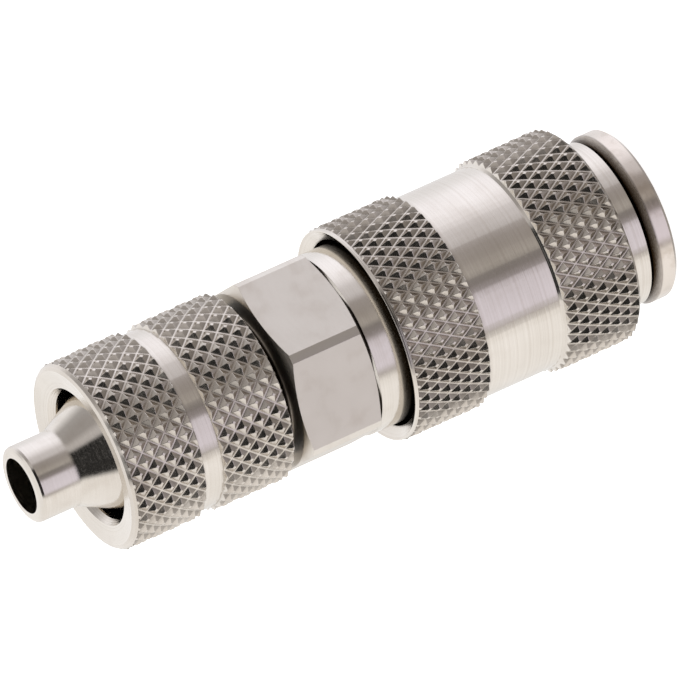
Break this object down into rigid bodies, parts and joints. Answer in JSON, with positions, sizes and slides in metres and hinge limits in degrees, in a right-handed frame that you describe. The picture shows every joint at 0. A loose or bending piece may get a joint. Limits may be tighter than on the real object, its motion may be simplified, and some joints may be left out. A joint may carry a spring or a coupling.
{
  "type": "pneumatic quick coupling",
  "caption": "Small nickel-plated compressed-air coupling socket with a knurled pull-back release sleeve, a wrench hexagon and a knurled union nut that clamps a plastic hose on a spigot.",
  "frame": {"origin": "centre of the mouth flange's flat front face, on which the coupling stands", "axes": "+Z along the flow axis, from the plug's mouth to the hose spigot; +X square to a flat of the hexagon"},
  "size_m": [0.011, 0.011, 0.0339],
  "materials": {
    "plated_brass": "satin nickel plating",
    "bare_brass": "turned",
    "ball_steel": "polished",
    "spring_steel": "drawn wire",
    "seal_rubber": "moulded"
  },
  "bodies": {
    "body": {"socket_body": "plated_brass", "plug_seal": "seal_rubber", "hose_adapter": "plated_brass", "adapter_seal": "seal_rubber", "sleeve_spring": "spring_steel", "valve_spring": "spring_steel"},
    "sleeve": {"release_sleeve": "plated_brass"},
    "ball_1": {"lock_ball_1": "ball_steel"},
    "ball_2": {"lock_ball_2": "ball_steel"},
    "ball_3": {"lock_ball_3": "ball_steel"},
    "ball_4": {"lock_ball_4": "ball_steel"},
    "ball_5": {"lock_ball_5": "ball_steel"},
    "ball_6": {"lock_ball_6": "ball_steel"},
    "valve": {"valve_poppet": "bare_brass", "valve_seal": "seal_rubber"},
    "nut": {"union_nut": "plated_brass"}
  },
  "joints": [
    {"name": "sleeve_slide", "type": "slide", "parent": "body", "child": "sleeve", "axis": [0, 0, 1], "range_m": [0, 0.00115], "stiffness_N_per_m": 2500, "springref_m": -0.0025, "deforming": ["sleeve_spring"]},
    {"name": "valve_slide", "type": "slide", "parent": "body", "child": "valve", "axis": [0, 0, 1], "range_m": [0, 0.0014], "stiffness_N_per_m": 800, "springref_m": -0.002, "deforming": ["valve_spring"]},
    {"name": "nut_turn", "type": "hinge", "parent": "body", "child": "nut", "pos_m": [0, 0, 0.026], "axis": [0, 0, 1], "continuous": true},
    {"name": "ball_1_slide", "type": "slide", "parent": "body", "child": "ball_1", "axis": [1, 0, 0], "range_m": [0, 0.00042]},
    {"name": "ball_2_slide", "type": "slide", "parent": "body", "child": "ball_2", "axis": [0.5, 0.866, 0], "range_m": [0, 0.00042]},
    {"name": "ball_3_slide", "type": "slide", "parent": "body", "child": "ball_3", "axis": [-0.5, 0.866, 0], "range_m": [0, 0.00042]},
    {"name": "ball_4_slide", "type": "slide", "parent": "body", "child": "ball_4", "axis": [-1, 0, 0], "range_m": [0, 0.00042]},
    {"name": "ball_5_slide", "type": "slide", "parent": "body", "child": "ball_5", "axis": [-0.5, -0.866, 0], "range_m": [0, 0.00042]},
    {"name": "ball_6_slide", "type": "slide", "parent": "body", "child": "ball_6", "axis": [0.5, -0.866, 0], "range_m": [0, 0.00042]}
  ],
  "couplings": [
    {"joint": "ball_1_slide", "follows": "sleeve_slide", "ratio": 0.365},
    {"joint": "ball_2_slide", "follows": "sleeve_slide", "ratio": 0.365},
    {"joint": "ball_3_slide", "follows": "sleeve_slide", "ratio": 0.365},
    {"joint": "ball_4_slide", "follows": "sleeve_slide", "ratio": 0.365},
    {"joint": "ball_5_slide", "follows": "sleeve_slide", "ratio": 0.365},
    {"joint": "ball_6_slide", "follows": "sleeve_slide", "ratio": 0.365}
  ]
}
